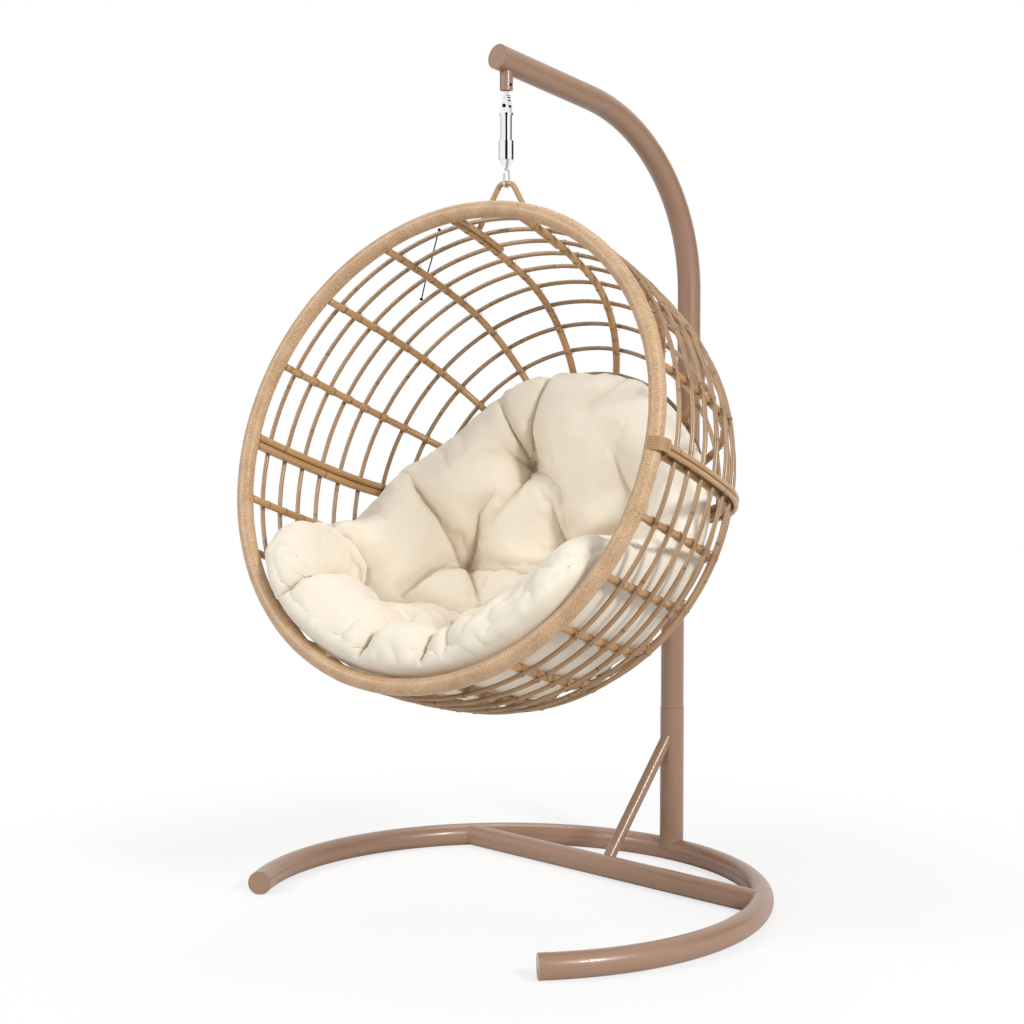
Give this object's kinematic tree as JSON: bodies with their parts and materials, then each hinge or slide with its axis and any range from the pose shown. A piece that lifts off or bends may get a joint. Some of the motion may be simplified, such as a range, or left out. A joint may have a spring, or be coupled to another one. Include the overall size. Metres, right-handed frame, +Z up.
{
  "type": "hanging egg chair",
  "caption": "Hanging egg chair: round cane basket with a tufted cushion, hung by a sprung swivel hanger from a bent tube stand on an open ring base.",
  "frame": {"origin": "centre of the base ring on the floor, right under the line that the basket hangs on", "axes": "+Z up along the hanging line, +Y towards the post, -Y out of the stand's open side, +X to the right of someone who looks along +Y"},
  "size_m": [1.1518, 1.0775, 1.8408],
  "materials": {
    "powder_coat": "satin",
    "bare_steel": "satin",
    "chrome": "polished",
    "rivet_black": "satin",
    "loop_paint": "satin",
    "rim_cane": "satin",
    "cane": "satin",
    "thin_cane": "satin",
    "cushion_cloth": "matte",
    "cord_black": "matte"
  },
  "bodies": {
    "stand": {"base_ring": "powder_coat", "base_plug_left": "powder_coat", "base_plug_right": "powder_coat", "cross_tube": "powder_coat", "lower_post": "powder_coat", "post_brace": "powder_coat", "mast_pole": "powder_coat", "mast_arm": "powder_coat", "arm_plug": "powder_coat", "lower_spigot": "bare_steel", "upper_spigot": "bare_steel", "mast_bolts": "powder_coat", "hanger_sleeve": "powder_coat", "hanger_pin": "chrome"},
    "link": {"swing_link": "chrome"},
    "spring_upper": {"spring_bracket": "chrome", "bracket_pin": "chrome", "bracket_rivet": "rivet_black", "spring_tube": "chrome", "spring_coil": "chrome"},
    "spring_lower": {"spring_rod": "chrome", "spring_washer": "chrome", "spring_nut": "chrome", "spring_sleeve": "chrome", "swivel_cap": "chrome"},
    "hook": {"swivel_hook": "chrome"},
    "basket": {"hang_loop": "loop_paint", "rim": "rim_cane", "hoops_mouth": "thin_cane", "hoops_front": "thin_cane", "hoops_middle": "thin_cane", "hoops_shoulder": "thin_cane", "hoops_back": "thin_cane", "ribs_top_left": "cane", "ribs_top_right": "cane", "ribs_low_left": "cane", "ribs_low_right": "cane", "belt_inner_left": "cane", "belt_inner_right": "cane", "belt_outer": "cane", "back_ring": "cane", "back_cross": "cane", "cushion": "cushion_cloth", "tie_cord": "cord_black", "tie_knot": "cord_black"}
  },
  "joints": [
    {"name": "swing_fore_aft", "type": "hinge", "parent": "stand", "child": "link", "pos_m": [0, 0, 1.757], "axis": [1, 0, 0], "range_deg": [-8, 3]},
    {"name": "swing_side", "type": "hinge", "parent": "link", "child": "spring_upper", "pos_m": [0, 0, 1.731], "axis": [0, 1, 0], "range_deg": [-5, 5]},
    {"name": "spring_bounce", "type": "slide", "parent": "spring_upper", "child": "spring_lower", "axis": [0, 0, -1], "range_m": [0, 0.024], "stiffness_N_per_m": 25000, "springref_m": -0.02, "deforming": ["spring_coil"]},
    {"name": "basket_swivel", "type": "hinge", "parent": "spring_lower", "child": "hook", "pos_m": [0, 0, 1.592], "axis": [0, 0, 1], "range_deg": [-45, 35]},
    {"name": "basket_nod", "type": "hinge", "parent": "hook", "child": "basket", "pos_m": [0, 0, 1.551], "axis": [0.9826, 0.1857, 0], "range_deg": [-4, 4]}
  ]
}
